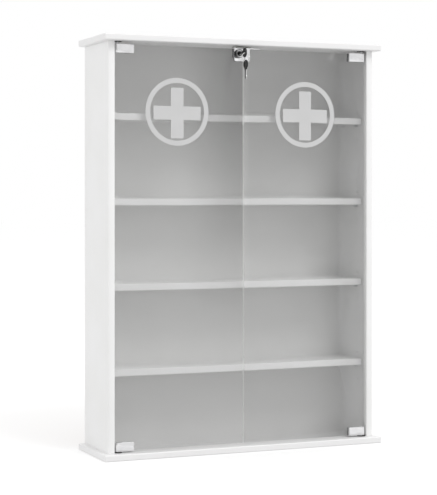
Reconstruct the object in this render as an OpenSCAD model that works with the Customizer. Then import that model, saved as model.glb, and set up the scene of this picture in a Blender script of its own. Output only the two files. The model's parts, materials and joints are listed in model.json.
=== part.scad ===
// Lockable medicine cabinet: a melamine carcass with four shelves, two pivot-hung glass doors
// and a clamp-on key lock. Millimetres, +Z up, the doors face -Y.
// The origin is the centre of the bottom board's underside.

/* [Boards] */
// Height of the whole cabinet
cabinet_h = 950; // [900:1:1300]
// Width of the top and bottom boards
board_w = 696; // [600:1:1000]
// Depth of the top and bottom boards
board_d = 188; // [170:1:320]
// Thickness of the top and bottom boards
board_t = 15; // [14:0.5:22]
// Radius along the boards' edges
board_edge_r = 3; // [0.5:0.5:6]
// How far the boards stand out past each side panel
side_overhang = 15; // [2:1:40]
// How far the boards stand out in front of the side panels
front_overhang = 20; // [5:1:40]

/* [Side and back panels] */
// Thickness of the side panels
panel_t = 15; // [14:0.5:22]
// Thickness of the back panel
back_t = 3; // [2:0.5:6]
// Space behind the back panel
back_inset = 10; // [4:1:20]
// Depth of the groove that holds the back panel
groove_depth = 6; // [3:0.5:8]
// Play between the back panel and its groove
groove_play = 0.2; // [0.1:0.1:0.5]

/* [Shelves] */
// Thickness of the shelves
shelf_t = 15; // [10:1:22]
// Underside of the lowest shelf above the bottom board
first_shelf = 169; // [100:1:200]
// Height from one shelf to the next
shelf_pitch = 192; // [128:32:192]
// Distance from the side panels' front edges back to the shelves' front edges
shelf_setback = 26; // [22:1:60]
// Play at each end and at the back of a shelf
shelf_play = 1.5; // [0.5:0.5:3]
// Diameter of the shelf pins
shelf_pin_d = 5; // [3:0.5:7]
// Length of a shelf pin under the shelf
shelf_pin_reach = 8; // [5:1:12]
// Depth of the holes for the shelf pins
pin_hole_depth = 9; // [6:1:12]
// Distance between the holes of one row
pin_hole_pitch = 32; // [25:1:40]
// Distance of the pin rows from a shelf's front and back edges
pin_row_inset = 28; // [15:1:40]

/* [Carcass fittings] */
// Diameter of the wooden dowels
dowel_d = 8; // [6:1:9]
// Length of the wooden dowels
dowel_l = 29; // [24:1:40]
// Depth that dowels and cam bolts reach into the boards
board_bite = 9.5; // [7:0.5:11]
// Diameter of the cam discs
cam_d = 15; // [12:1:18]
// Depth of the cam discs
cam_depth = 12; // [8:0.5:13]
// Distance from a panel's end to its cam discs
cam_from_end = 24; // [16:1:40]
// Diameter of the cam bolts
cam_bolt_d = 6; // [4:0.5:7]
// Play round dowels, bolts, cams and pins in their holes
hole_play = 0.05; // [0.02:0.01:0.1]
// Thickness of the wall brackets
bracket_t = 2; // [1.5:0.5:3]
// Length of a wall bracket's two legs
bracket_leg = 34; // [28:1:45]
// Height of a wall bracket
bracket_h = 22; // [16:1:40]
// Distance from the top board down to the wall brackets
bracket_drop = 4; // [1:1:20]
// Diameter of the wall screw holes
wall_hole_d = 6.5; // [4:0.5:8]
// Diameter of the small wood screws' shanks
wood_screw_d = 3; // [2:0.5:4]
// Length of the small wood screws
wood_screw_l = 12; // [8:1:14]

/* [Glass doors] */
// Thickness of the glass
glass_t = 4; // [3:0.5:6]
// Distance from the side panels' front edges back to the glass
door_setback = 9; // [9:0.5:14]
// Gap between the glass and a side panel
door_side_gap = 2; // [1.5:0.5:4]
// Gap between the glass and the top board
door_top_gap = 5.8; // [4:0.1:9]
// Gap between the glass and the bottom board
door_bottom_gap = 3.2; // [3:0.1:6]
// Gap between the two doors
meeting_gap = 3; // [2:0.5:4]
// Outer diameter of the printed ring
ring_d = 154; // [80:1:200]
// Width of the ring's line
ring_line = 11.3; // [4:0.1:14]
// Length of the printed cross
cross_l = 115; // [50:1:118]
// Width of the cross's bars
cross_bar = 31; // [10:1:40]
// Distance from the ring's centre down to the cross's centre
cross_drop = 2.8; // [0:0.1:5]
// Distance from the top of the glass down to the ring's centre
print_drop = 148.8; // [120:0.1:300]
// How far the left print sits outwards from its door's centre
left_print_shift = 6; // [0:0.5:20]
// Thickness of the printed film
print_t = 0.3; // [0.1:0.1:0.5]

/* [Pivot hinges] */
// Distance from a door's outer edge to its pivot
pivot_inset = 8; // [8:0.5:14]
// Diameter of the pivot pins
pivot_d = 5; // [3:0.5:6]
// Width of a hinge clamp
clamp_w = 43.5; // [30:0.5:60]
// Height of a hinge clamp
clamp_h = 20; // [16:0.5:30]
// Thickness of a clamp's front plate
clamp_front_t = 8; // [4:0.5:8]
// Thickness of a clamp's back plate
clamp_back_t = 3; // [2.5:0.5:4]
// Radius of a clamp's outer front corner
clamp_corner_r = 6; // [5:0.5:7]
// Distance from a door's outer edge to the hinge clamp
clamp_inset = 0.5; // [0.5:0.5:4]
// Thickness of the rubber pads between clamp and glass
pad_t = 0.5; // [0.3:0.1:1]
// Width of the notch in the glass for the pivot
notch_w = 16.5; // [16:0.5:22]
// Height of the notch in the glass for the pivot
notch_h = 11; // [9:0.5:12]
// Diameter of the clamp screws
clamp_screw_d = 4; // [3:0.5:6]
// Diameter of a pivot bush's flange
bush_flange_d = 19.5; // [12:0.5:19.5]
// Thickness of a pivot bush's flange
bush_flange_t = 1.2; // [0.8:0.1:1.4]
// Diameter of a pivot bush's body
bush_d = 10; // [8:0.5:12]
// Depth of a pivot bush in its board
bush_depth = 10; // [8:0.5:12]

/* [Lock] */
// Thickness of the housing's and keeper's webs over the top of the glass
web_t = 1.3; // [1:0.1:2]
// Width of the lock housing
housing_w = 26; // [26:0.5:40]
// Width of the keeper's block
keeper_w = 12; // [10:0.5:20]
// Width of the keeper's back plate
keeper_back_w = 8; // [7:0.5:10]
// Width of the whole keeper along the top of the glass
keeper_clip_w = 39; // [35:0.5:60]
// Height of the lock's and keeper's front blocks
lock_h = 30.8; // [28:0.1:45]
// Gap from the line between the doors to the housing and to the keeper
seam = 0.5; // [0.4:0.1:0.8]
// Radius of the front blocks' lower corners
lock_corner_r = 4; // [1:0.5:6]
// Distance from the housing's left side to the cylinder's centre
cylinder_inset = 9.5; // [9.5:0.5:14]
// Height of the cylinder's centre above the housing's bottom edge
cylinder_rise = 16.8; // [14:0.1:20]
// Outer diameter of the lock barrel
barrel_d = 20.2; // [17:0.1:21]
// How far the barrel stands out of the housing
barrel_proud = 9; // [6:0.5:12]
// Diameter of the barrel's stem inside the housing
stem_d = 14; // [13:0.5:15]
// Diameter of the turning plug
plug_d = 11; // [10.5:0.5:12]
// Play between parts that turn or slide in each other
running_play = 0.05; // [0.02:0.01:0.08]
// Thickness of the bolt
bolt_t = 3; // [2:0.5:3]
// Height of the bolt
bolt_h = 14; // [13.5:0.5:18]
// Radius of the crank pin's path
crank_r = 4.2; // [3.5:0.1:4.2]
// Diameter of the crank pin
crank_pin_d = 2.4; // [2:0.1:2.6]
// Thickness of the crank disc
crank_t = 1.1; // [0.8:0.1:1.3]
// Height of the plates behind the glass
lock_back_h = 22; // [18:1:30]

/* [Keys] */
// Thickness of a key's blade
blade_t = 1.8; // [1.2:0.1:2]
// Height of a key's blade
blade_h = 7.5; // [5:0.5:8]
// Length of a key's blade
blade_l = 21.5; // [16:0.5:24]
// How far the inserted key's blade is in the plug
key_in = 5.5; // [3:0.5:6]
// How much further the key can be pushed in
key_push = 5; // [0:0.5:5]
// Length of a key's head
head_l = 18; // [14:0.5:20]
// Width of a key's head
head_w = 22; // [16:0.5:26]
// Thickness of a key's head
head_t = 2.8; // [2.4:0.1:3.5]
// Length of the neck between head and blade
neck_l = 4; // [2:0.5:6]
// Width of the neck
neck_w = 10; // [8:0.5:12]
// Diameter of the hole in a key's head
key_hole_d = 5.2; // [4.5:0.1:6]
// Distance from a head's end to its hole's centre
key_hole_inset = 4; // [4:0.5:5]
// Radius of the key ring's wire circle
key_ring_r = 9.5; // [8.6:0.1:11]
// Diameter of the key ring's wire
key_wire_d = 1.6; // [1:0.1:1.8]

/* [Door stop] */
// Width of the door stop
stop_w = 44; // [30:1:70]
// Depth of the door stop
stop_d = 9; // [6:0.5:12]
// Height of the door stop
stop_h = 13; // [8:0.5:20]
// Gap between the closed doors and the door stop
stop_gap = 0.3; // [0.2:0.1:0.5]

/* [Hidden] */
$fn = 64;
cut = 1;                                  // overshoot of a cut past the face it opens

// Carcass planes
board_front = -board_d / 2;
back_plane = board_d / 2;
panel_front = board_front + front_overhang;
panel_outer = board_w / 2 - side_overhang;
panel_inner = panel_outer - panel_t;
panel_low = board_t;
panel_high = cabinet_h - board_t;
back_front = back_plane - back_inset - back_t;

// Shelves
shelf_count = 4;
shelf_front = panel_front + shelf_setback;
shelf_back = back_front - shelf_play;
shelf_half_w = panel_inner - shelf_play;
pin_rows = [shelf_front + pin_row_inset, shelf_back - pin_row_inset];
function shelf_z(i) = panel_low + first_shelf + i * shelf_pitch;

// Rows of dowels and cams along each joint of the carcass, as shares of the panel's depth
panel_d = back_plane - panel_front;
dowel_rows = [panel_front + panel_d * 0.12, panel_front + panel_d * 0.48];
cam_rows = [panel_front + panel_d * 0.3, panel_front + panel_d * 0.66];
joint_x = panel_inner + panel_t / 2;

// Wall brackets
bracket_top = panel_high - bracket_drop;
bracket_mid = bracket_top - bracket_h / 2;
wall_hole_x = panel_inner - bracket_leg * 0.6;
bracket_screw_ys = [back_front - bracket_leg * 0.45, back_front - bracket_leg * 0.8];
back_hole_d = wall_hole_d + 1.5;
screw_head_d = wood_screw_d * 2;
screw_head_t = wood_screw_d / 2;

// Doors
glass_front = panel_front + door_setback;
glass_back = glass_front + glass_t;
glass_outer = panel_inner - door_side_gap;
glass_inner = meeting_gap / 2;
glass_top = panel_high - door_top_gap;
glass_low = panel_low + door_bottom_gap;
door_centre = (glass_outer + glass_inner) / 2;

// Pivots, in the plane of the glass's front face
pivot_x = glass_outer - pivot_inset;
pivot_y = glass_front;
clamp_outer = pivot_inset - clamp_inset;  // clamp edge outside the pivot
boss_gap = 0.5;                           // between the pivot boss and the notch
boss_in = notch_w - pivot_inset - boss_gap;
boss_h = notch_h - boss_gap;
clamp_front = -pad_t - clamp_front_t;     // planes of a clamp, from the glass's front face
clamp_slot_back = glass_t + pad_t;
clamp_back = clamp_slot_back + clamp_back_t;
pin_bite = boss_h - 1;                    // pivot pin's length inside its boss
bush_reach = bush_depth - 1;              // pivot pin's length inside its board
clamp_screw_xs = [clamp_w * 0.45 - clamp_outer, clamp_w * 0.8 - clamp_outer];
clamp_screw_z = -clamp_h * 0.62;
socket_d = clamp_screw_d / 2;
socket_depth = 1.5;

// Lock planes
block_front = glass_front - pad_t - clamp_front_t;
block_back = glass_front - pad_t;
rear_front = glass_back + pad_t;
rear_back = rear_front + clamp_back_t;
web_gap = 0.2;                            // between the top of the glass and a web
lock_top = glass_top + web_gap + web_t;
lock_low = lock_top - lock_h;
housing_left = -seam - housing_w;
cylinder_x = housing_left + cylinder_inset;
cylinder_z = lock_low + cylinder_rise;
barrel_front = block_front - barrel_proud;
bolt_wall = 1.3;                          // wall between the bolt and the pad
bolt_play = 0.1;                          // on each face of the bolt in the housing
pocket_play = 0.6;                        // round the bolt in the keeper's pocket, open at the back
bolt_back = block_back - bolt_wall - bolt_play;
bolt_front = bolt_back - bolt_t;
crank_back = bolt_front - 0.3;
crank_front = crank_back - crank_t;
barrel_back = crank_front - 0.3;
crank_swing = 45;                         // crank pin's angle each side of upright
bolt_throw = 2 * crank_r * sin(crank_swing);
bolt_tip = -seam - 0.5;
bolt_tail = housing_left + 3;
bolt_room = 0.5;                          // behind the bolt's tail and before its thrown tip
slot_w = crank_pin_d + 0.8;
crank_x = cylinder_x - crank_r * sin(crank_swing);
keyway_h = blade_h + 0.2;
keyway_t = blade_t + 0.2;
keyway_end = barrel_front + key_in + key_push + 0.5;
lock_screw_xs = [housing_left + housing_w * 0.25, housing_left + housing_w * 0.72];
keeper_screw_xs = [seam + keeper_back_w / 2];
lock_screw_z = lock_top - lock_back_h * 0.6;
keeper_right = seam + keeper_clip_w;
lip_h = 2.4;                              // keeper's bar in front of the glass and lip behind it
lip_t = 1.2;

// Keys. The inserted key's hole is on the cylinder's axis, and the ring hangs from it.
key_end = barrel_front + key_in - blade_l - neck_l - head_l;
key_hole_y = key_end + key_hole_inset;
hang = key_hole_d / 2 - key_wire_d / 2 - 0.7;
ring_z = cylinder_z - hang - key_ring_r;
spare_hole_z = ring_z - key_ring_r - hang;
spare_top = spare_hole_z + key_hole_inset;
blade_root = 3;                           // blade's length inside the head

// Door stop
stop_front = rear_back + stop_gap;

// ---------- Shared shapes ----------

// A block between two opposite corners
module block(low, high) {
    translate(low) cube([for (k = [0:2]) high[k] - low[k]]);
}

// A cylinder along +Y or +Z from a centre point
module rod_y(centre, d, l) {
    translate(centre) rotate([-90, 0, 0]) cylinder(d = d, h = l);
}
module rod_z(centre, d, l) {
    translate(centre) cylinder(d = d, h = l);
}
module rod_x(centre, d, l) {
    translate(centre) rotate([0, 90, 0]) cylinder(d = d, h = l);
}

// A rectangle with all four corners round
module round_rect(w, h, r) {
    for (x = [-1, 1], y = [-1, 1])
        translate([x * (w / 2 - r), y * (h / 2 - r)]) circle(r);
    square([w - 2 * r, h], center = true);
    square([w, h - 2 * r], center = true);
}

// Repeats its children at the mirror image across the cabinet
module both_sides() {
    children();
    mirror([1, 0, 0]) children();
}

// Moves its children from the top joint of the carcass to the bottom one as well
module both_ends() {
    children();
    translate([0, 0, cabinet_h]) mirror([0, 0, 1]) children();
}

// ---------- Carcass ----------

// Top or bottom board with rounded front, left and right edges and a square back edge
module board() {
    reach = board_d + 2 * board_edge_r;   // the rounded back edge is cut off behind the board
    intersection() {
        block([-board_w, board_front, 0], [board_w, back_plane, board_t]);
        translate([0, board_front + reach / 2, board_t / 2]) intersection() {
            rotate([90, 0, 0]) linear_extrude(reach, center = true)
                round_rect(board_w, board_t, board_edge_r);
            rotate([90, 0, 90]) linear_extrude(board_w, center = true)
                round_rect(reach, board_t, board_edge_r);
            linear_extrude(board_t, center = true)
                round_rect(board_w, reach, board_edge_r);
        }
    }
}

// Holes of one carcass board: dowels and cam bolts of the two side panels, in its upper face
module board_holes() {
    both_sides() {
        for (y = dowel_rows)
            rod_z([joint_x, y, board_t - board_bite], dowel_d + 2 * hole_play, board_bite + cut);
        for (y = cam_rows)
            rod_z([joint_x, y, board_t - board_bite], cam_bolt_d + 2 * hole_play, board_bite + cut);
        rod_z([pivot_x, pivot_y, board_t - bush_depth], bush_d + 2 * hole_play, bush_depth + cut);
    }
    block([-panel_inner, back_front - groove_play, board_t - groove_depth],
        [panel_inner, back_front + back_t + groove_play, board_t + cut]);
}

module bottom_board() {
    color("whitesmoke") difference() {
        board();
        board_holes();
    }
}

module top_board() {
    color("whitesmoke") translate([0, 0, cabinet_h]) mirror([0, 0, 1]) difference() {
        board();
        board_holes();
        for (x = [-stop_w / 4, stop_w / 4])
            rod_z([x, stop_front + stop_d / 2, board_t - wood_screw_l + stop_h / 2],
                wood_screw_d + 2 * hole_play, board_t);
    }
}

// One end of the right-hand side panel, written for its lower end
module panel_end_holes() {
    for (y = dowel_rows)
        rod_z([joint_x, y, panel_low - cut], dowel_d + 2 * hole_play, dowel_l - board_bite + cut);
    for (y = cam_rows) {
        rod_z([joint_x, y, panel_low - cut], cam_bolt_d + 2 * hole_play + 1, cam_from_end + cut);
        rod_x([panel_inner - cut, y, panel_low + cam_from_end],
            cam_d + 2 * hole_play, cam_depth + cut);
    }
}

module side_panel() {
    difference() {
        block([panel_inner, panel_front, panel_low], [panel_outer, back_plane, panel_high]);
        block([panel_inner - cut, back_front - groove_play, panel_low - cut],
            [panel_inner + groove_depth, back_front + back_t + groove_play, panel_high + cut]);
        both_ends() panel_end_holes();
        for (i = [0:shelf_count - 1], y = pin_rows, step = [-1:1])
            rod_x([panel_inner - cut, y, shelf_z(i) - shelf_pin_d / 2 + step * pin_hole_pitch],
                shelf_pin_d + 2 * hole_play, pin_hole_depth + cut);
        for (y = bracket_screw_ys)
            rod_x([panel_inner - cut, y, bracket_mid], wood_screw_d + 2 * hole_play, wood_screw_l + cut);
    }
}

module right_side_panel() {
    color("whitesmoke") side_panel();
}

module left_side_panel() {
    color("whitesmoke") mirror([1, 0, 0]) side_panel();
}

// Back panel, held in the grooves of the sides and boards
module back_panel() {
    reach = groove_depth - 2 * groove_play;
    color("white") difference() {
        block([-panel_inner - reach, back_front, panel_low],
            [panel_inner + reach, back_front + back_t, panel_high]);
        both_sides()
            rod_y([wall_hole_x, back_front - cut, bracket_mid], back_hole_d, back_t + 2 * cut);
    }
    color("white") for (end = [[panel_low - reach, panel_low], [panel_high, panel_high + reach]])
        block([-panel_inner + groove_play, back_front, end[0]],
            [panel_inner - groove_play, back_front + back_t, end[1]]);
}

// Shelf number i, counted from the bottom
module shelf(i) {
    color("whitesmoke")
        block([-shelf_half_w, shelf_front, shelf_z(i)], [shelf_half_w, shelf_back, shelf_z(i) + shelf_t]);
}

// Four round pins under each shelf, with a collar against the panel
module shelf_pins() {
    collar_t = shelf_play - 0.3;
    color("silver") both_sides() for (i = [0:shelf_count - 1], y = pin_rows) {
        z = shelf_z(i) - shelf_pin_d / 2;
        rod_x([panel_inner - shelf_pin_reach, y, z], shelf_pin_d,
            shelf_pin_reach + pin_hole_depth - 0.5);
        rod_x([panel_inner - collar_t, y, z], shelf_pin_d + 1.5, collar_t);
    }
}

module dowels() {
    color("burlywood") both_ends() both_sides() for (y = dowel_rows)
        rod_z([joint_x, y, panel_low - board_bite + 0.3], dowel_d, dowel_l - 0.8);
}

// Cam bolt: threaded in the board, with its head inside the cam disc
module cam_bolts() {
    color("silver") both_ends() both_sides() for (y = cam_rows)
        rod_z([joint_x, y, panel_low - board_bite + 0.3], cam_bolt_d,
            board_bite + cam_from_end - 0.3);
}

// Cam disc: a round block with a cross-bore for the bolt and a screwdriver slot
module cam_discs() {
    slot = [1, 8, 1.6];
    color("gainsboro") both_ends() both_sides() for (y = cam_rows)
        difference() {
            rod_x([panel_inner, y, panel_low + cam_from_end], cam_d, cam_depth);
            rod_z([joint_x, y, panel_low + cam_from_end - cam_d], cam_bolt_d + 1, cam_d + cut);
            translate([panel_inner + slot[0] / 2, y, panel_low + cam_from_end])
                cube([slot[0] + 0.01, slot[1], slot[2]], center = true);
        }
}

// Angle bracket in each upper back corner, with a hole for a wall screw
module wall_brackets() {
    color("silver") both_sides() difference() {
        union() {
            block([panel_inner - bracket_leg, back_front - bracket_t, bracket_top - bracket_h],
                [panel_inner, back_front, bracket_top]);
            block([panel_inner - bracket_t, back_front - bracket_leg, bracket_top - bracket_h],
                [panel_inner, back_front, bracket_top]);
        }
        rod_y([wall_hole_x, back_front - bracket_t - cut, bracket_mid], wall_hole_d, bracket_t + 2 * cut);
        for (y = bracket_screw_ys)
            rod_x([panel_inner - bracket_t - cut, y, bracket_mid],
                wood_screw_d + 2 * hole_play, bracket_t + 2 * cut);
    }
}

// A pan-head wood screw along +X, its head's seat at the given point
module wood_screw_x(seat) {
    rod_x(seat, wood_screw_d, wood_screw_l - 1);
    rod_x([seat[0] - screw_head_t, seat[1], seat[2]], screw_head_d, screw_head_t);
}

module wall_bracket_screws() {
    color("silver") both_sides() for (y = bracket_screw_ys)
        wood_screw_x([panel_inner - bracket_t, y, bracket_mid]);
}

// Plastic bush for each pivot pin, flanged against its board
module bush() {
    difference() {
        union() {
            rod_z([pivot_x, pivot_y, board_t - bush_depth + 0.2], bush_d, bush_depth);
            rod_z([pivot_x, pivot_y, board_t], bush_flange_d, bush_flange_t);
        }
        rod_z([pivot_x, pivot_y, board_t - bush_reach], pivot_d + 2 * running_play,
            bush_reach + bush_flange_t + cut);
    }
}

module pivot_bushes() {
    color("black") both_ends() both_sides() bush();
}

// Block under the top board that the closed doors rest against
module door_stop() {
    color("white") difference() {
        block([-stop_w / 2, stop_front, panel_high - stop_h],
            [stop_w / 2, stop_front + stop_d, panel_high]);
        for (x = [-stop_w / 4, stop_w / 4]) {
            rod_z([x, stop_front + stop_d / 2, panel_high - stop_h - cut],
                wood_screw_d + 2 * hole_play, stop_h + 2 * cut);
            rod_z([x, stop_front + stop_d / 2, panel_high - stop_h - cut],
                screw_head_d + 2 * hole_play, stop_h / 2 + cut);
        }
    }
}

module door_stop_screws() {
    color("silver") for (x = [-stop_w / 4, stop_w / 4]) {
        rod_z([x, stop_front + stop_d / 2, panel_high - stop_h / 2 - screw_head_t],
            screw_head_d, screw_head_t);
        rod_z([x, stop_front + stop_d / 2, panel_high - stop_h / 2], wood_screw_d, wood_screw_l - 0.5);
    }
}

// ---------- Doors ----------

// Right-hand glass with a notch at each pivot corner
module glass() {
    difference() {
        block([glass_inner, glass_front, glass_low], [glass_outer, glass_back, glass_top]);
        for (z = [glass_low - cut, glass_top - notch_h])
            block([glass_outer - notch_w, glass_front - cut, z],
                [glass_outer + cut, glass_back + cut, z + notch_h + cut]);
    }
}

// A cross inside a ring, flat on the front of the glass
module print(x) {
    z = glass_top - print_drop;
    translate([x, glass_front, z]) rotate([90, 0, 0]) linear_extrude(print_t) {
        difference() {
            circle(d = ring_d, $fn = 128);
            circle(d = ring_d - 2 * ring_line, $fn = 128);
        }
        translate([0, -cross_drop]) {
            square([cross_l, cross_bar], center = true);
            square([cross_bar, cross_l], center = true);
        }
    }
}

module right_door_glass() {
    color("lightslategray", 0.5) glass();
}

module left_door_glass() {
    color("lightslategray", 0.5) mirror([1, 0, 0]) glass();
}

module right_door_print() {
    color("gainsboro") print(door_centre);
}

module left_door_print() {
    color("gainsboro") print(-door_centre - left_print_shift);
}

// ---------- Pivot hinges ----------
// Each piece is written about the right-hand door's pivot, with the glass's edge at z = 0.

// Places its children at the top or bottom hinge of the right-hand door
module at_hinge(top) {
    translate([pivot_x, pivot_y, top ? glass_top : glass_low])
        mirror([0, 0, top ? 0 : 1]) children();
}

// Outline of a clamp from above: a rectangle with one round front corner
module clamp_outline() {
    inner = clamp_outer - clamp_w;
    depth = clamp_back - clamp_front;
    r = clamp_corner_r;
    translate([clamp_outer - r, clamp_front + r]) circle(r);
    translate([inner, clamp_front]) square([clamp_w - r, depth]);
    translate([inner, clamp_front + r]) square([clamp_w, depth - r]);
}

// Clamp: two plates joined by the pivot boss in the notch, flush with the glass's edge
module clamp() {
    difference() {
        translate([0, 0, -clamp_h]) linear_extrude(clamp_h) clamp_outline();
        block([clamp_outer - clamp_w - cut, -pad_t, -clamp_h - cut],
            [-boss_in, clamp_slot_back, cut]);
        block([-boss_in - cut, -pad_t, -clamp_h - cut],
            [clamp_outer + cut, clamp_slot_back, -boss_h]);
        rod_z([0, 0, -pin_bite], pivot_d + 2 * hole_play, pin_bite + cut);
        for (x = clamp_screw_xs)
            rod_y([-x, clamp_slot_back - cut, clamp_screw_z],
                clamp_screw_d + 2 * hole_play, clamp_back_t + 2 * cut);
    }
}

// Rubber liner on each face of the glass, cut out for the boss
module clamp_pads() {
    inner = clamp_outer - clamp_w + 0.5;
    for (y = [-pad_t, glass_t]) {
        block([inner, y, -clamp_h + 0.5], [-boss_in - boss_gap, y + pad_t, -0.2]);
        block([inner, y, -clamp_h + 0.5], [clamp_outer - 0.5, y + pad_t, -notch_h]);
    }
}

// Headless screws that press the glass against the front plate
module clamp_screws() {
    for (x = clamp_screw_xs)
        difference() {
            rod_y([-x, clamp_slot_back, clamp_screw_z], clamp_screw_d, clamp_back_t - 0.3);
            translate([-x, clamp_back - 0.3 - socket_depth, clamp_screw_z])
                rotate([-90, 0, 0]) cylinder(d = socket_d, h = socket_depth + cut, $fn = 6);
        }
}

// Pivot pin, pressed in its boss and turning in its bush
module pivot_pin(gap) {
    rod_z([0, 0, -pin_bite], pivot_d, pin_bite + gap + bush_reach - 0.5);
}

module right_top_hinge_clamp() {
    color("silver") at_hinge(true) clamp();
}

module right_bottom_hinge_clamp() {
    color("silver") at_hinge(false) clamp();
}

module hinge_pads() {
    for (top = [true, false]) at_hinge(top) clamp_pads();
}

module hinge_screws() {
    for (top = [true, false]) at_hinge(top) clamp_screws();
}

module pivot_pins() {
    at_hinge(true) pivot_pin(door_top_gap);
    at_hinge(false) pivot_pin(door_bottom_gap);
}

module right_hinge_pads() {
    color("black") hinge_pads();
}

module right_hinge_screws() {
    color("dimgray") hinge_screws();
}

module right_pivot_pins() {
    color("silver") pivot_pins();
}

module left_top_hinge_clamp() {
    color("silver") mirror([1, 0, 0]) at_hinge(true) clamp();
}

module left_bottom_hinge_clamp() {
    color("silver") mirror([1, 0, 0]) at_hinge(false) clamp();
}

module left_hinge_pads() {
    color("black") mirror([1, 0, 0]) hinge_pads();
}

module left_hinge_screws() {
    color("dimgray") mirror([1, 0, 0]) hinge_screws();
}

module left_pivot_pins() {
    color("silver") mirror([1, 0, 0]) pivot_pins();
}

// ---------- Lock on the left door ----------

// A front block whose lower corner away from the seam is round
module front_block(x0, x1, round_left) {
    r = lock_corner_r;
    corner_x = round_left ? x0 + r : x1 - r;
    translate([0, block_back, 0]) rotate([90, 0, 0]) linear_extrude(clamp_front_t) {
        translate([x0, lock_low + r]) square([x1 - x0, lock_h - r]);
        translate([round_left ? corner_x : x0, lock_low]) square([x1 - x0 - r, r + 1]);
        translate([corner_x, lock_low + r]) circle(r);
    }
}

// Web over the glass and plate behind it
module rear_clamp(x0, x1) {
    web(x0, x1);
    block([x0, rear_front, lock_top - lock_back_h], [x1, rear_back, lock_top]);
}

module web(x0, x1) {
    block([x0, block_back, glass_top + web_gap], [x1, rear_front, lock_top]);
}

module lock_housing() {
    room = bolt_h / 2 + bolt_play;
    color("silver") difference() {
        union() {
            front_block(housing_left, -seam, true);
            rear_clamp(housing_left, -seam);
        }
        rod_y([cylinder_x, block_front - cut, cylinder_z], stem_d + 2 * hole_play,
            bolt_front - block_front + cut);
        block([bolt_tail - bolt_room, bolt_front - bolt_play, cylinder_z - room],
            [cut, bolt_back + bolt_play, cylinder_z + room]);
        for (x = lock_screw_xs)
            rod_y([x, rear_front - cut, lock_screw_z],
                clamp_screw_d + 2 * hole_play, clamp_back_t + 2 * cut);
    }
}

// Barrel: a collar in front of the housing and a stem inside it, bored for the plug
module lock_barrel() {
    collar_bevel = 0.8;
    color("silver") difference() {
        translate([cylinder_x, 0, cylinder_z]) rotate([-90, 0, 0]) rotate_extrude()
            polygon([[0, barrel_front], [barrel_d / 2 - collar_bevel, barrel_front],
                [barrel_d / 2, barrel_front + collar_bevel], [barrel_d / 2, block_front],
                [stem_d / 2, block_front], [stem_d / 2, barrel_back], [0, barrel_back]]);
        rod_y([cylinder_x, barrel_front - cut, cylinder_z], plug_d,
            barrel_back - barrel_front + 2 * cut);
    }
}

// Pads on both faces of the glass under a front block and a rear plate
module two_pads(x0, x1, front_low) {
    block([x0 + 0.5, block_back, front_low + 0.5], [x1 - 0.5, glass_front, glass_top]);
    block([x0 + 0.5, glass_back, lock_top - lock_back_h + 0.5], [x1 - 0.5, rear_front, glass_top]);
}

module lock_pads() {
    color("black") two_pads(housing_left, -glass_inner, lock_low + lock_corner_r);
}

module socket_screws(xs) {
    for (x = xs)
        difference() {
            rod_y([x, rear_front, lock_screw_z], clamp_screw_d, clamp_back_t - 0.3);
            translate([x, rear_back - 0.3 - socket_depth, lock_screw_z])
                rotate([-90, 0, 0]) cylinder(d = socket_d, h = socket_depth + cut, $fn = 6);
        }
}

module lock_clamp_screws() {
    color("dimgray") socket_screws(lock_screw_xs);
}

// Plug: turns in the barrel and has the keyway
module lock_plug() {
    color("gainsboro") difference() {
        rod_y([cylinder_x, barrel_front, cylinder_z], plug_d - 2 * running_play,
            crank_front - barrel_front);
        block([cylinder_x - keyway_t / 2, barrel_front - cut, cylinder_z - keyway_h / 2],
            [cylinder_x + keyway_t / 2, keyway_end, cylinder_z + keyway_h / 2]);
    }
}

// Crank: a disc on the plug's inner end, with a pin in the bolt's slot
module lock_crank() {
    color("silver") {
        rod_y([cylinder_x, crank_front, cylinder_z], stem_d - 1, crank_t);
        rod_y([crank_x, crank_back, cylinder_z + crank_r * cos(crank_swing)],
            crank_pin_d, bolt_t + bolt_play);
    }
}

// Bolt: a flat bar that the crank pin slides towards the keeper
module lock_bolt() {
    slot_low = cylinder_z + crank_r * cos(crank_swing) - slot_w / 2;
    slot_high = cylinder_z + crank_r + slot_w / 2;
    color("silver") difference() {
        block([bolt_tail, bolt_front, cylinder_z - bolt_h / 2], [bolt_tip, bolt_back, cylinder_z + bolt_h / 2]);
        block([crank_x - slot_w / 2, bolt_front - cut, slot_low],
            [crank_x + slot_w / 2, bolt_back + cut, slot_high]);
    }
}

// ---------- Keeper on the right door ----------

module keeper() {
    room = bolt_h / 2 + pocket_play;
    color("silver") difference() {
        union() {
            front_block(seam, seam + keeper_w, false);
            rear_clamp(seam, seam + keeper_back_w);
            web(seam, keeper_right);
            block([seam, block_front, lock_top - lip_h], [keeper_right, block_back, lock_top]);
            block([seam, rear_front, lock_top - lip_h], [keeper_right, rear_front + lip_t, lock_top]);
        }
        block([-cut, bolt_front - pocket_play, cylinder_z - room],
            [bolt_tip + bolt_throw + bolt_room, block_back + cut, cylinder_z + room]);
        for (x = keeper_screw_xs)
            rod_y([x, rear_front - cut, lock_screw_z],
                clamp_screw_d + 2 * hole_play, clamp_back_t + 2 * cut);
    }
}

module keeper_pads() {
    color("black") {
        block([glass_inner + 0.5, block_back, lock_low + lock_corner_r],
            [seam + keeper_w - 0.5, glass_front, glass_top]);
        block([glass_inner + 0.5, glass_back, lock_top - lock_back_h + 0.5],
            [seam + keeper_back_w - 0.5, rear_front, glass_top]);
    }
}

module keeper_screws() {
    color("dimgray") socket_screws(keeper_screw_xs);
}

// ---------- Keys ----------
// A key is written flat: its head's end at the origin, its blade along +X, its width along Y.

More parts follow.
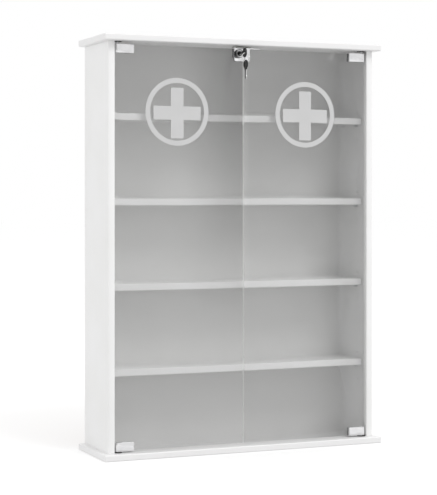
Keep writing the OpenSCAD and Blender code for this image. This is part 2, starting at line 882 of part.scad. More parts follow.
module key_head_outline() {
    neck_end = head_l + neck_l;
    half = head_w / 2;
    side = [[0, 0.42], [0.19, 0.82], [0.42, 1], [0.72, 1], [0.92, 0.82], [1, 0.6]];
    rim = concat([for (p = side) [p[0] * head_l, p[1] * half]],
        [[head_l, neck_w / 2], [neck_end, neck_w / 2]]);
    last = len(rim) - 1;
    difference() {
        polygon(concat(rim, [for (k = [last:-1:0]) [rim[k][0], -rim[k][1]]]));
        translate([key_hole_inset, 0]) circle(d = key_hole_d);
    }
}

// Moulded head, with a pocket for the blade's root
module key_head_solid() {
    neck_end = head_l + neck_l;
    difference() {
        linear_extrude(head_t, center = true) key_head_outline();
        block([neck_end - blade_root, -blade_h / 2, -blade_t / 2], [neck_end + cut, blade_h / 2, blade_t / 2]);
    }
}

// Blade with a bevelled tip, cuts along one edge and a groove along one side
module key_blade_solid() {
    start = head_l + neck_l - blade_root;
    tip = head_l + neck_l + blade_l;
    half = blade_h / 2;
    cuts = [1.6, 0.8, 2, 1.2];            // depth of each cut in the blade's edge
    cut_pitch = 3.5;
    difference() {
        linear_extrude(blade_t, center = true) difference() {
            polygon([[start, -half], [tip - 2.5, -half], [tip, -half + 2.5],
                [tip, half - 1.5], [tip - 1.5, half], [start, half]]);
            for (k = [0:len(cuts) - 1]) {
                x = tip - 4.5 - k * cut_pitch;
                polygon([[x - 0.5 - cuts[k], -half - 0.01], [x - 0.5, -half + cuts[k]],
                    [x + 0.5, -half + cuts[k]], [x + 0.5 + cuts[k], -half - 0.01]]);
            }
        }
        block([start + blade_root + 2, 0.6, blade_t / 2 - 0.4], [tip + cut, 1.8, blade_t / 2 + cut]);
    }
}

// Inserted key: the blade points along +Y, the head stands upright
module in_lock() {
    translate([cylinder_x, key_end, cylinder_z]) rotate([90, 0, 90]) children();
}

// Spare key: hangs straight down from the ring
module on_ring() {
    translate([cylinder_x, key_hole_y, spare_top]) rotate([0, 90, 0]) children();
}

module key_head() {
    color("#2b2b2b") in_lock() key_head_solid();
}

module key_blade() {
    color("silver") in_lock() key_blade_solid();
}

module spare_key_head() {
    color("#2b2b2b") on_ring() key_head_solid();
}

module spare_key_blade() {
    color("silver") on_ring() key_blade_solid();
}

// Split ring drawn as one closed wire
module key_ring() {
    color("silver") translate([cylinder_x, key_hole_y, ring_z]) rotate([90, 0, 0])
        rotate_extrude() translate([key_ring_r, 0]) circle(d = key_wire_d, $fn = 32);
}

// ---------- Nodes ----------

top_board();
bottom_board();
left_side_panel();
right_side_panel();
back_panel();
shelf(0);  // shelf_1
shelf(1);  // shelf_2
shelf(2);  // shelf_3
shelf(3);  // shelf_4
shelf_pins();
dowels();
cam_bolts();
cam_discs();
wall_brackets();
wall_bracket_screws();
pivot_bushes();
door_stop();
door_stop_screws();
left_door_glass();
left_door_print();
left_top_hinge_clamp();
left_bottom_hinge_clamp();
left_hinge_pads();
left_hinge_screws();
left_pivot_pins();
right_door_glass();
right_door_print();
right_top_hinge_clamp();
right_bottom_hinge_clamp();
right_hinge_pads();
right_hinge_screws();
right_pivot_pins();
lock_housing();
lock_barrel();
lock_pads();
lock_clamp_screws();
lock_plug();
lock_crank();
lock_bolt();
keeper();
keeper_pads();
keeper_screws();
key_blade();
key_head();
key_ring();
spare_key_blade();
spare_key_head();
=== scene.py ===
"""Looks of a lockable medicine cabinet: white board carcass, satin glass doors, key lock."""

import json
import math

import bmesh
import bpy
import numpy as np
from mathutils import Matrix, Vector


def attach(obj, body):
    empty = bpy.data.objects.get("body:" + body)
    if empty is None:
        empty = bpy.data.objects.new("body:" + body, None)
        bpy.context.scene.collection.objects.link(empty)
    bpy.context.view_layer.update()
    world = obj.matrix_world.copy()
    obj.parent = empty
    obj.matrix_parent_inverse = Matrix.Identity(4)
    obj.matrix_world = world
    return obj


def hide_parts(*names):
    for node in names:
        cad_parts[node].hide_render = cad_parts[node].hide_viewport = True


MM = 0.001  # one millimetre in metres

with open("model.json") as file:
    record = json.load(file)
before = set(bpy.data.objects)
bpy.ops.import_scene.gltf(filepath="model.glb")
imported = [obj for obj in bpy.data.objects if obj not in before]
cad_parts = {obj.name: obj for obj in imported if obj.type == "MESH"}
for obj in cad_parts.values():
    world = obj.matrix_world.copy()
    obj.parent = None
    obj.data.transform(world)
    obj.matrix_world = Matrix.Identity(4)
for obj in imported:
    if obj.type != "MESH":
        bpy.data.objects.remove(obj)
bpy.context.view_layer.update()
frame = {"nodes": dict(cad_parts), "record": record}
nodes = frame["nodes"]
BODY_OF = {node: body for body, members in frame["record"]["behaviour"]["bodies"].items()
           for node in members}


# ---------------------------------------------------------------- colours and node trees

def linear(hex_colour):
    """Linear RGBA of an sRGB hex colour such as "f0f0ee"."""
    values = [int(hex_colour[i:i + 2], 16) / 255 for i in (0, 2, 4)]
    return [v / 12.92 if v <= 0.04045 else ((v + 0.055) / 1.055) ** 2.4 for v in values] + [1.0]


def add(material, kind, settings=None, **links):
    """Adds one node to a material. settings are its properties, links its inputs by name or number:
    each is a value, or a (node, output) pair to link from. Spaces in names are written as "_"."""
    tree = material.node_tree
    node = tree.nodes.new("ShaderNode" + kind)
    for name, value in (settings or {}).items():
        setattr(node, name, value)
    for name, value in links.items():
        key = int(name[1:]) if name[1:].isdigit() else name.replace("_", " ")
        socket = node.inputs[key]
        if isinstance(value, tuple) and isinstance(value[0], bpy.types.Node):
            tree.links.new(value[0].outputs[value[1]], socket)
        else:
            socket.default_value = value
    return node


def new_material(name):
    """An empty node material with its output node, and the pair of them."""
    material = bpy.data.materials.new(name)
    material.use_nodes = True
    material.node_tree.nodes.clear()
    return material, material.node_tree.nodes.new("ShaderNodeOutputMaterial")


def surface(material, output, shader, socket="BSDF"):
    """Links a shader to the material's surface."""
    material.node_tree.links.new(shader.outputs[socket], output.inputs["Surface"])
    return material


def stops(ramp, colours):
    """Sets a colour ramp's stops from (position, hex colour) pairs."""
    elements = ramp.color_ramp.elements
    while len(elements) > len(colours):
        elements.remove(elements[-1])
    while len(elements) < len(colours):
        elements.new(1.0)
    for element, (position, colour) in zip(elements, colours):
        element.position = position
        element.color = linear(colour)
    return ramp


def per_mm(size_mm):
    """Texture scale at which one feature is size_mm across."""
    return 1000.0 / size_mm


# ---------------------------------------------------------------- materials

def any_ray(material, ray, *kinds):
    """1 for rays of any of these kinds and 0 for others, as a (node, output) pair."""
    found = (ray, f"Is {kinds[0]} Ray")
    for kind in kinds[1:]:
        larger = add(material, "Math", {"operation": "MAXIMUM"}, _0=found,
                     _1=(ray, f"Is {kind} Ray"))
        found = (larger, "Value")
    return found


def mottled(name, light, dark, roughness, spread, grain_mm, cloud_mm, depth_mm,
            metallic=0.0, coat=0.0, stretch=(1, 1, 1)):
    """A surface whose colour drifts between two close tones over cloud_mm and whose fine relief
    has grain_mm grains depth_mm deep. stretch lengthens the grain along an axis, as turning and
    brushing do."""
    material, output = new_material(name)
    place = add(material, "TexCoord")
    turned_place = add(material, "Mapping", Vector=(place, "Object"), Scale=stretch)
    cloud = add(material, "TexNoise", Vector=(place, "Object"), Scale=per_mm(cloud_mm), Detail=3.0)
    grain = add(material, "TexNoise", Vector=(turned_place, "Vector"), Scale=per_mm(grain_mm),
                Detail=2.0)
    tone = stops(add(material, "ValToRGB", Fac=(cloud, "Fac")), [(0.3, dark), (0.7, light)])
    sheen = add(material, "MapRange", Value=(grain, "Fac"), From_Min=0.3, From_Max=0.7,
                To_Min=roughness - spread, To_Max=roughness + spread)
    relief = add(material, "Bump", Height=(grain, "Fac"), Strength=0.5, Distance=depth_mm * MM)
    shader = add(material, "BsdfPrincipled", Base_Color=(tone, "Color"), Metallic=metallic,
                 Roughness=(sheen, "Result"), Coat_Weight=coat, Normal=(relief, "Normal"))
    return surface(material, output, shader)


# Melamine foil pressed on chipboard: satin, with a fine pearl grain.
melamine = mottled("white melamine foil, pressed", "f2f2f2", "efefee", 0.42, 0.06, 1.2, 90, 0.03)
# Sprayed lacquer on MDF with rounded edges: smoother than the foil, a faint orange peel.
lacquer = mottled("white lacquered MDF, sprayed", "eeeeee", "ecebeb", 0.34, 0.04, 2.5, 120, 0.03)
# Zinc casting, polished and chrome plated.
chrome = mottled("polished chrome plate on zinc", "e0e0e1", "d6d6d7", 0.1, 0.03, 4.0, 15, 0.004,
                 metallic=1.0)
# Black chrome over turned brass: near mirror, dark.
black_chrome = mottled("black chrome plate on brass, turned", "3a3a3b", "2c2c2d", 0.2, 0.04, 0.4, 6,
                       0.004, metallic=1.0)
steel = mottled("zinc-plated steel, drawn", "d2d3d4", "c4c5c7", 0.3, 0.08, 0.8, 8, 0.01,
                metallic=1.0)
nickel = mottled("nickel plate on brass, stamped", "d4d4d3", "c6c6c5", 0.24, 0.07, 0.6, 5, 0.004,
                 metallic=1.0)
# The flats of a key blade are a darker nickel than its edges.
dark_nickel = mottled("dark nickel plate on brass, stamped", "8c8c8c", "7e7e7e", 0.3, 0.07, 0.6, 5,
                      0.004, metallic=1.0)
# The lock's turned face: satin nickel, darker than the plate round it.
satin_nickel = mottled("satin nickel on brass, turned", "a6a6a6", "949494", 0.36, 0.06, 0.3, 5,
                       0.006, metallic=1.0)
black_oxide = mottled("black oxide on steel", "2a2a2c", "1d1d1f", 0.45, 0.08, 0.5, 4, 0.01,
                      metallic=0.6)
rubber = mottled("black EPDM rubber, moulded", "232323", "1b1b1b", 0.75, 0.06, 0.4, 5, 0.02)
black_abs = mottled("black ABS, moulded", "2e2e2e", "262626", 0.42, 0.06, 0.5, 6, 0.015)
powder_coat = mottled("white powder coat on pressed steel", "ebebea", "e6e6e5", 0.45, 0.05, 0.7, 12,
                      0.02)
# White caps sit on the cam discs, so that the corners look plain from inside.
cam_cap = mottled("white polyethylene cap, moulded", "f0f0ef", "ebebea", 0.45, 0.05, 0.9, 10, 0.02)
beech = mottled("beech, turned", "d6b58c", "c39e72", 0.6, 0.08, 0.6, 5, 0.03, stretch=(1, 1, 0.1))
ink = mottled("white ceramic ink, screen printed", "cbcbcb", "c8c8c8", 0.4, 0.05, 0.8, 40, 0.01)
# Glass edge after grinding: it scatters light and looks milky.
ground_edge = mottled("ground glass edge", "f0f1f0", "e8e9e8", 0.6, 0.08, 0.3, 10, 0.01)


def natural_plastic():
    """Unpigmented polypropylene, moulded: milky and half clear, so it takes the grey behind it."""
    material, output = new_material("natural polypropylene, moulded")
    place = add(material, "TexCoord")
    grain = add(material, "TexNoise", Vector=(place, "Object"), Scale=per_mm(0.8), Detail=2.0)
    relief = add(material, "Bump", Height=(grain, "Fac"), Strength=0.4, Distance=0.02 * MM)
    milk = add(material, "BsdfPrincipled", Base_Color=linear("f0f0ee"), Roughness=0.4,
               Normal=(relief, "Normal"))
    clear = add(material, "BsdfTransparent", Color=linear("f2f2f0"))
    mix = add(material, "MixShader", Fac=0.35, _1=(clear, "BSDF"), _2=(milk, "BSDF"))
    return surface(material, output, mix, "Shader")


BARE_FROM_Y = 0.0832  # metres: behind this the hardboard is bare


def back_board():
    """Hardboard: white lacquer on the front, bare brown fibre on the face towards the wall."""
    material, output = new_material("hardboard, lacquered on one face")
    place = add(material, "TexCoord")
    axes = add(material, "SeparateXYZ", Vector=(place, "Object"))
    bare = add(material, "Math", {"operation": "GREATER_THAN"}, _0=(axes, "Y"), _1=BARE_FROM_Y)
    fibre = add(material, "TexNoise", Vector=(place, "Object"), Scale=per_mm(1.6), Detail=6.0,
                Roughness=0.7)
    brown = stops(add(material, "ValToRGB", Fac=(fibre, "Fac")),
                  [(0.3, "6b4a30"), (0.5, "80593a"), (0.72, "97704c")])
    cloud = add(material, "TexNoise", Vector=(place, "Object"), Scale=per_mm(60), Detail=2.0)
    white = stops(add(material, "ValToRGB", Fac=(cloud, "Fac")), [(0.3, "dfdfde"), (0.7, "e3e3e2")])
    colour = add(material, "Mix", {"data_type": "RGBA"}, Factor=(bare, "Value"),
                 _6=(white, "Color"), _7=(brown, "Color"))
    rough = add(material, "MapRange", Value=(bare, "Value"), To_Min=0.48, To_Max=0.85)
    relief = add(material, "Bump", Height=(fibre, "Fac"), Strength=0.4, Distance=0.05 * MM)
    shader = add(material, "BsdfPrincipled", Base_Color=(colour, "Result"),
                 Roughness=(rough, "Result"), Normal=(relief, "Normal"))
    return surface(material, output, shader)


GLASS_LIGHT, GLASS_PAINTED_SHADE = "f0f0f0", "a0a0a0"  # the glass's own tint, and its grey where the painted shade is deepest
SHADE_FADE_LOW_Z, SHADE_FADE_HIGH_Z = 0.18, 0.85  # metres: going down between these heights, the painted shade by top fades out


def satin_glass(name, top_shade_from, top_shade_to, top, side_shade_from=0.0, side_shade_to=1.0, side=0.0):
    """Grey float glass, toughened, with one face acid etched: it blurs what is far behind it and
    keeps what touches it sharp. Shadow and diffuse rays pass straight through. Painted shade
    deepens
    the grey along X: by top over the span that the top arguments give, less and less towards the
    bottom, and by side over the span that the side arguments give, over the whole height."""
    material, output = new_material(name)
    place = add(material, "TexCoord")
    axes = add(material, "SeparateXYZ", Vector=(place, "Object"))
    smooth = {"interpolation_type": "SMOOTHSTEP"}
    # Painted shade by top, rising along X.
    across = add(material, "MapRange", smooth, Value=(axes, "X"), From_Min=top_shade_from,
                 From_Max=top_shade_to, To_Max=top)
    up = add(material, "MapRange", smooth, Value=(axes, "Z"), From_Min=SHADE_FADE_LOW_Z,
             From_Max=SHADE_FADE_HIGH_Z, To_Min=0.05)
    # Painted shade by side, rising along X at every height.
    edge = add(material, "MapRange", smooth, Value=(axes, "X"), From_Min=side_shade_from,
               From_Max=side_shade_to, To_Max=side)
    depth = add(material, "Math", {"operation": "MULTIPLY_ADD"}, _0=(across, "Result"),
                _1=(up, "Result"), _2=(edge, "Result"))
    # The glass's own tint, greyed by the painted shade.
    tint_and_painted_shade = add(material, "Mix", {"data_type": "RGBA"}, Factor=(depth, "Value"),
               _6=linear(GLASS_LIGHT), _7=linear(GLASS_PAINTED_SHADE))
    shader = add(material, "BsdfPrincipled", Base_Color=(tint_and_painted_shade, "Result"), Roughness=0.18, IOR=1.5,
                 Transmission_Weight=1.0)
    clear = add(material, "BsdfTransparent", Color=linear("f4f4f4"))
    soft_light = any_ray(material, add(material, "LightPath"), "Shadow", "Diffuse")
    mix = add(material, "MixShader", Fac=soft_light, _1=(shader, "BSDF"), _2=(clear, "BSDF"))
    return surface(material, output, mix, "Shader")


# Painted shade: the left door greys towards the seam, most at the top; the right door greys a
# little all over, most at the top, and more towards its right side at every height.
left_glass = satin_glass("grey satin glass, acid etched, left door",
                         top_shade_from=-0.18, top_shade_to=0.0, top=0.66)
right_glass = satin_glass("grey satin glass, acid etched, right door",
                          top_shade_from=0.0, top_shade_to=0.02, top=0.16,
                          side_shade_from=0.16, side_shade_to=0.3, side=0.2)
hardboard = back_board()
polypropylene = natural_plastic()

FINISHES = {
    "top_board": lacquer, "bottom_board": lacquer,
    "left_side_panel": melamine, "right_side_panel": melamine, "back_panel": hardboard,
    "shelf_1": melamine, "shelf_2": melamine, "shelf_3": melamine, "shelf_4": melamine,
    "shelf_pins": steel, "dowels": beech, "cam_bolts": steel, "cam_discs": cam_cap,
    "wall_brackets": powder_coat, "wall_bracket_screws": steel, "pivot_bushes": black_abs,
    "door_stop": polypropylene, "door_stop_screws": steel,
    "left_door_glass": left_glass, "right_door_glass": right_glass,
    "left_door_print": ink, "right_door_print": ink,
    "left_top_hinge_clamp": chrome, "left_bottom_hinge_clamp": chrome,
    "right_top_hinge_clamp": chrome, "right_bottom_hinge_clamp": chrome,
    "left_hinge_pads": rubber, "right_hinge_pads": rubber,
    "left_hinge_screws": black_oxide, "right_hinge_screws": black_oxide,
    "left_pivot_pins": steel, "right_pivot_pins": steel,
    "lock_housing": chrome, "lock_barrel": black_chrome, "lock_pads": rubber,
    "lock_clamp_screws": black_oxide, "lock_plug": black_chrome, "lock_crank": steel,
    "lock_bolt": steel, "keeper": chrome, "keeper_pads": rubber, "keeper_screws": black_oxide,
    "key_blade": nickel, "key_head": black_abs, "key_ring": nickel,
    "spare_key_blade": nickel, "spare_key_head": black_abs,
}
for name, material in FINISHES.items():
    nodes[name].data.materials.clear()
    nodes[name].data.materials.append(material)


# ---------------------------------------------------------------- mesh tools

SHARP_DEG = 35  # edges steeper than this are sharp


def stand_in(node, mesh, finishes, smooth_deg=SHARP_DEG):
    """Puts a finished mesh in the scene in place of a node, on the node's body. Its
    shading breaks at edges steeper than smooth_deg, or nowhere if that is 0."""
    for finish in finishes:
        mesh.materials.append(finish)
    mesh.shade_smooth()
    if smooth_deg:
        mesh.set_sharp_from_angle(angle=math.radians(smooth_deg))
    piece = bpy.data.objects.new(node + "_finished", mesh)
    bpy.context.scene.collection.objects.link(piece)
    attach(piece, BODY_OF[node])
    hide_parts(node)
    return piece


def softened(node, round_mm, *finishes, segments=3, edge_faces=False, floor_y=None):
    """A node's solid with its sharp edges broken: loose triangles merged, flat faces joined into
    one, and each edge steeper than SHARP_DEG rounded to round_mm. With edge_faces, faces that look
    along X or Z take the second finish. floor_y (mm) tells where a flat floor with an opening
    lies: it is cut into triangles first, so that the opening stays open."""
    work = bmesh.new()
    work.from_mesh(nodes[node].data)
    bmesh.ops.remove_doubles(work, verts=work.verts, dist=0.002 * MM)
    bmesh.ops.dissolve_limit(work, angle_limit=math.radians(0.5), verts=work.verts,
                             edges=work.edges)
    for face in work.faces:
        face.material_index = int(edge_faces and abs(face.normal.y) < 0.5)
    if floor_y is not None:
        bmesh.ops.triangulate(work, faces=[
            face for face in work.faces
            if abs(face.normal.y) > 0.99 and abs(face.verts[0].co.y - floor_y * MM) < 0.05 * MM])
    mesh = bpy.data.meshes.new(node + "_finished")
    work.to_mesh(mesh)
    work.free()
    piece = stand_in(node, mesh, finishes or (FINISHES[node],), smooth_deg=0)
    bevel = piece.modifiers.new("broken edges", "BEVEL")
    bevel.width = round_mm * MM
    bevel.segments = segments
    bevel.limit_method = "ANGLE"
    bevel.angle_limit = math.radians(SHARP_DEG)
    bevel.use_clamp_overlap = False
    bevel.harden_normals = True
    return piece


def grid_mesh(name, grid, wrap_rows, wrap_columns, row_paint=None, column_paint=None):
    """Mesh of quads between neighbours of grid, a (rows, columns, 3) array in metres. A wrapped
    direction joins its last line to its first; open row ends are closed by one flat face each.
    row_paint or column_paint gives each row's or each column's material number."""
    rows, columns = grid.shape[:2]
    r = np.arange(rows if wrap_rows else rows - 1)[:, None]
    c = np.arange(columns if wrap_columns else columns - 1)[None, :]
    r1, c1 = (r + 1) % rows, (c + 1) % columns
    corners = np.stack(np.broadcast_arrays(r * columns + c, r * columns + c1,
                                           r1 * columns + c1, r1 * columns + c), -1)
    faces = corners.reshape(-1, 4).tolist()
    paint = np.zeros(corners.shape[:2], int)
    if row_paint is not None:
        paint += np.asarray(row_paint)[:corners.shape[0], None]
    if column_paint is not None:
        paint += np.asarray(column_paint)[None, :corners.shape[1]]
    paint = paint.ravel().tolist()
    if not wrap_rows:
        faces += [list(range(columns)), list(range((rows - 1) * columns, rows * columns))]
        paint += [paint[0], paint[-1]]
    mesh = bpy.data.meshes.new(name)
    mesh.from_pydata(grid.reshape(-1, 3).tolist(), [], faces)
    mesh.polygons.foreach_set("material_index", paint)
    work = bmesh.new()
    work.from_mesh(mesh)
    bmesh.ops.remove_doubles(work, verts=work.verts, dist=0.0005 * MM)
    bmesh.ops.recalc_face_normals(work, faces=work.faces)
    work.to_mesh(mesh)
    work.free()
    return mesh


# ---------------------------------------------------------------- lock and keys

# Lengths here are in millimetres.
CYLINDER = (-17.0, 916.7)  # axis of the lock: X, Z
BARREL_FACE_ROWS = range(1, 6)  # rows of the barrel's profile that make its dished face
KEY_END_Y = -120.5   # free end of the key's head, in the lock
KEY_HOLE_Y = -116.5  # centre of the same head's hole
SPARE_TOP = 899.5    # Z of the free end of the spare key's head


def lock_barrel():
    """Turned sleeve: a closed profile of (radius, Y) carried round the lock's axis. Its face is a
    shallow dish with a raised rim and a bevelled bore, and a groove runs round its side."""
    profile = np.array([
        (5.5, -71.6), (5.5, -81.9), (5.7, -82.2), (6.1, -82.3), (8.0, -82.3), (8.3, -82.5),
        (8.9, -82.5), (9.5, -82.4), (9.9, -82.1), (10.1, -81.6), (10.1, -80.2), (9.9, -80.0),
        (9.9, -79.6), (10.1, -79.4), (10.1, -73.5), (7.0, -73.5), (7.0, -71.6)])
    turn = np.linspace(0, 2 * np.pi, 96, endpoint=False)
    radius, along = profile[:, 0][:, None], profile[:, 1][:, None]
    grid = np.stack([CYLINDER[0] + radius * np.cos(turn), along + 0 * turn,
                     CYLINDER[1] + radius * np.sin(turn)], -1) * MM
    face = [int(row not in BARREL_FACE_ROWS) for row in range(len(profile))]
    stand_in("lock_barrel", grid_mesh("lock_barrel", grid, True, True, face),
             (satin_nickel, black_chrome), 40)


def in_lock(flat):
    """Places a key drawn flat (length, width, thickness) in the lock, its head upright."""
    return np.stack([CYLINDER[0] + flat[..., 2], KEY_END_Y + flat[..., 0],
                     CYLINDER[1] + flat[..., 1]], -1) * MM


def on_ring(flat):
    """Places a key drawn flat so that it hangs from the ring."""
    return np.stack([CYLINDER[0] + flat[..., 2], KEY_HOLE_Y + flat[..., 1],
                     SPARE_TOP - flat[..., 0]], -1) * MM


# Half outline of the key's head, from its free end to the blade: length, half width.
BOW = np.array([(0.0, 4.6), (3.4, 9.0), (7.5, 11.0), (13.0, 11.0), (16.6, 9.0), (18.0, 6.6),
                (18.2, 5.0), (22.0, 5.0)])
HOLE = (4.0, 0.0)  # centre of the key head's hole: length, width
BLADE_ROOT, BLADE_TIP = 19.0, 43.5  # where the blade leaves the head, and its tip
BLADE_HALF, BLADE_T = 3.75, 1.8     # half its height, and its thickness
LOWER_TAPER, UPPER_TAPER = 41.0, 42.0  # where the blade's edges start to run in to the tip
CUT_DEPTHS = (1.6, 0.8, 2.0, 1.2)      # cuts in the blade's lower edge, from the tip
FIRST_CUT, CUT_PITCH, CUT_HALF = 38.5, 3.5, 0.5
RING_Z, RING_R = 906.1, 9.5  # Z of the key ring's centre, and its mean radius
WIRE_HALF_W, WIRE_HALF_T = 0.8, 0.39  # half the width and thickness of its wire
WIRE_BLUNT = 0.6               # power of the wire's section: 1 is an ellipse, 0 a rectangle
COIL_HALF = 0.4                # half the step from one turn of the ring to the next
RAMP_AT, RAMP_HALF = 0.2, 0.12  # radians: how far past one turn the step lies, and its half length


def key_head(node, place):
    """Moulded key head: rays from the hole out to a six-sided outline, whose corners are rounded
    by averaging neighbouring rays. Along each ray the thickness rises from the hole's rim to a
    shallow panel, steps up to a border, and turns round the outer edge to the other face."""
    outline = np.concatenate([BOW, BOW[::-1] * (1, -1)])
    ends = np.roll(outline, -1, 0)
    turn = np.linspace(-np.pi, np.pi, 180, endpoint=False)
    ray = np.stack([np.cos(turn), np.sin(turn)], -1)[:, None, :]
    start, side = outline[None] - HOLE, (ends - outline)[None]
    across = ray[..., 0] * side[..., 1] - ray[..., 1] * side[..., 0]
    across = np.where(np.abs(across) < 1e-9, 1e-9, across)
    reach = (start[..., 0] * side[..., 1] - start[..., 1] * side[..., 0]) / across
    share = (start[..., 0] * ray[..., 1] - start[..., 1] * ray[..., 0]) / across
    hit = (share >= -1e-6) & (share <= 1 + 1e-6) & (reach > 0)
    radius = np.where(hit, reach, -1).max(1)
    weights = np.array([1, 2, 3, 2, 1]) / 9
    radius = sum(w * np.roll(radius, k - 2) for k, w in enumerate(weights))
    free_end = HOLE[0] / np.maximum(-np.cos(turn), 1e-6)
    radius = np.minimum(radius, np.where(np.cos(turn) < 0, free_end, np.inf))
    # Inset from the outline and half thickness, then radius and half thickness at the hole.
    border = [(0.0, 0.5), (0.12, 0.95), (0.45, 1.28), (0.9, 1.4), (2.0, 1.4), (2.4, 1.15)]
    hole = [(3.3, 1.15), (2.9, 1.05), (2.6, 0.75)]
    rows = [(radius - inset, height) for inset, height in border]
    rows += [(np.full_like(radius, r), h) for r, h in hole]
    upper = [np.stack([HOLE[0] + r * np.cos(turn), r * np.sin(turn), np.full_like(r, h)], -1)
             for r, h in rows]
    lower = [ring * (1, 1, -1) for ring in upper[::-1]]
    grid = np.stack(upper + lower)
    mesh = grid_mesh(node, place(grid), True, True)
    stand_in(node, mesh, (black_abs,), 50)


def key_blade(node, place):
    """Stamped blade: a section of twelve points, with broken corners and a milled groove, carried
    along the length; its lower edge dips at four cuts and both edges run in to the tip."""
    cuts = [(FIRST_CUT - CUT_PITCH * k, depth) for k, depth in enumerate(CUT_DEPTHS)]
    along = np.unique(np.concatenate([
        [BLADE_ROOT, BLADE_TIP, LOWER_TAPER, UPPER_TAPER],
        *[middle + np.array([-CUT_HALF - depth, -CUT_HALF, CUT_HALF, CUT_HALF + depth])
          for middle, depth in cuts]]))
    dips = [np.clip(1 - (np.abs(along - (middle + CUT_HALF)) - CUT_HALF) / depth, 0, 1) * depth
            for middle, depth in cuts]
    low = -BLADE_HALF + np.maximum(np.max(dips, 0), along - LOWER_TAPER)
    high = BLADE_HALF - np.maximum(0, along - UPPER_TAPER)
    h, b = BLADE_T / 2, 0.2        # half thickness, and the width of a broken corner
    groove = [(1.95, h), (1.8, h - 0.4), (0.6, h - 0.4), (0.45, h)]
    section = [(low + b, -h), (high - b, -h), (high, -h + b), (high, h - b), (high - b, h),
               *[(np.full_like(along, y), z) for y, z in groove],
               (low + b, h), (low, h - b), (low, -h + b)]
    grid = np.stack([np.stack([along, y, np.full_like(along, z)], -1) for y, z in section], 1)
    flats = [1, 0, 0, 0, 1, 1, 1, 1, 1, 0, 0, 0]  # which strips of the section take the darker nickel
    mesh = grid_mesh(node, place(grid), False, True, column_paint=flats)
    stand_in(node, mesh, (nickel, dark_nickel), 25)


def key_ring():
    """Split ring: an oval section of flat wire carried twice round; a short ramp after the first
    turn takes it from one side to the other."""
    turn = np.linspace(0.35, 4 * np.pi + 0.1, 260)
    side = COIL_HALF * np.tanh((turn - 2 * np.pi - RAMP_AT) / RAMP_HALF)
    around = np.linspace(0, 2 * np.pi, 16, endpoint=False)
    radial = WIRE_HALF_W * np.sign(np.cos(around)) * np.abs(np.cos(around)) ** WIRE_BLUNT
    axial = WIRE_HALF_T * np.sign(np.sin(around)) * np.abs(np.sin(around)) ** WIRE_BLUNT
    reach = RING_R + radial[None, :]
    grid = np.stack([CYLINDER[0] + reach * np.cos(turn)[:, None],
                     KEY_HOLE_Y + side[:, None] + axial[None, :],
                     RING_Z + reach * np.sin(turn)[:, None]], -1) * MM
    stand_in("key_ring", grid_mesh("key_ring", grid, False, True), (nickel,), 60)


lock_barrel()
key_head("key_head", in_lock)
key_head("spare_key_head", on_ring)
key_blade("key_blade", in_lock)
key_blade("spare_key_blade", on_ring)
key_ring()

FITTING_EDGE, BOARD_EDGE, STOP_EDGE = 0.25, 0.7, 0.8  # radii of the broken edges, in mm
for node in ("left_top_hinge_clamp", "left_bottom_hinge_clamp", "right_top_hinge_clamp",
             "right_bottom_hinge_clamp", "keeper"):
    softened(node, FITTING_EDGE)
softened("lock_housing", FITTING_EDGE, floor_y=-70.0)
for node in ("lock_plug", "lock_bolt", "wall_brackets", "pivot_bushes"):
    softened(node, FITTING_EDGE, segments=2)
softened("door_stop", STOP_EDGE)
for node in ("left_side_panel", "right_side_panel", "shelf_1", "shelf_2", "shelf_3", "shelf_4"):
    softened(node, BOARD_EDGE)
for node, glass in (("left_door_glass", left_glass), ("right_door_glass", right_glass)):
    softened(node, BOARD_EDGE, glass, ground_edge, segments=2, edge_faces=True)


# ---------------------------------------------------------------- floor, light and camera

def floor_material():
    """Matt white floor. The camera, mirrors and glass see it white with the soft shadow on it, and
    it throws an even light up at the object."""
    material, output = new_material("white paper floor")
    seen = any_ray(material, add(material, "LightPath"), "Camera", "Glossy", "Transmission")
    tone = stops(add(material, "ValToRGB", Fac=seen), [(0.0, "8c8c8c"), (1.0, "d0d0d0")])
    lift = add(material, "MapRange", Value=seen, To_Min=0.44, To_Max=0.43)
    shader = add(material, "BsdfPrincipled", Base_Color=(tone, "Color"), Roughness=1.0,
                 Specular_IOR_Level=0.0, Emission_Color=linear("ffffff"),
                 Emission_Strength=(lift, "Result"))
    return surface(material, output, shader)


FLOOR_HALF = 30.0  # half the floor's side, in metres
floor_mesh = bpy.data.meshes.new("floor")
floor_mesh.from_pydata([(x * FLOOR_HALF, y * FLOOR_HALF, 0.0)
                        for x, y in ((-1, -1), (1, -1), (1, 1), (-1, 1))], [], [(0, 1, 2, 3)])
floor = bpy.data.objects.new("floor", floor_mesh)
bpy.context.scene.collection.objects.link(floor)
floor_mesh.materials.append(floor_material())

WORLD_LEVEL = 0.9   # strength of the world's light on the object
RIGHT_SHARE = 0.22  # how much stronger it is from +X, and weaker from -X
world = bpy.data.worlds.new("studio")
bpy.context.scene.world = world
world.use_nodes = True
world.node_tree.nodes.clear()
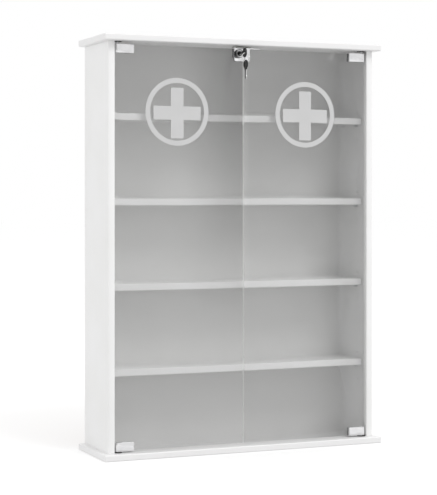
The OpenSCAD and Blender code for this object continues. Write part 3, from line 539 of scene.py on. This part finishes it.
# White where it is seen. Its light on the object is stronger from the right, and metal also
# mirrors a dark flag that stands at the left of the set.
ray = add(world, "LightPath")
seen = any_ray(world, ray, "Camera", "Transmission")
direction = add(world, "SeparateXYZ", Vector=(add(world, "TexCoord"), "Generated"))
flag = add(world, "MapRange", Value=(direction, "X"), From_Min=-0.95, From_Max=-0.3, To_Min=0.35)
sideways = add(world, "Math", {"operation": "MULTIPLY_ADD"}, _0=(direction, "X"),
               _1=RIGHT_SHARE * WORLD_LEVEL, _2=WORLD_LEVEL)
unseen = add(world, "Mix", _0=(ray, "Is Glossy Ray"), _2=(sideways, "Value"), _3=(flag, "Result"))
level = add(world, "Mix", _0=seen, _2=(unseen, "Result"), _3=1.0)
background = add(world, "Background", Color=linear("ffffff"), Strength=(level, "Result"))
studio = world.node_tree.nodes.new("ShaderNodeOutputWorld")
surface(world, studio, background, "Background")


def area_light(name, place, target, size, watts):
    """A square softbox at place, facing target."""
    lamp = bpy.data.lights.new(name, "AREA")
    lamp.size = size
    lamp.energy = watts
    box = bpy.data.objects.new(name, lamp)
    box.location = place
    box.rotation_euler = (Vector(target) - Vector(place)).to_track_quat("-Z", "Y").to_euler()
    bpy.context.scene.collection.objects.link(box)
    return box


area_light("high softbox", (2.0, -5.2, 6.2), (0.0, 0.0, 0.6), 3.1, 190)
area_light("side softbox", (-3.2, 0.4, 1.0), (-0.35, 0.0, 0.5), 1.5, 15)

FRAME_H = 495.0    # the frame's height, in pixels
FOCAL_PX = 1534.4  # focal length, in the same pixels
HORIZON_PX = 50.2  # how far the horizon lies above the frame's middle
CAMERA_AT = (-1.4468, -3.3089, 0.5861)
CAMERA_YAW = -23.107  # degrees round Z; 0 looks along +Y
camera = bpy.data.cameras.new("camera")
camera.sensor_width = 36.0
camera.lens = FOCAL_PX / FRAME_H * camera.sensor_width
camera.shift_y = -HORIZON_PX / FRAME_H
view = bpy.data.objects.new("camera", camera)
view.location = CAMERA_AT
view.rotation_euler = (math.radians(90), 0, math.radians(CAMERA_YAW))
bpy.context.scene.collection.objects.link(view)
bpy.context.scene.camera = view
bpy.context.scene.view_settings.view_transform = "Standard"
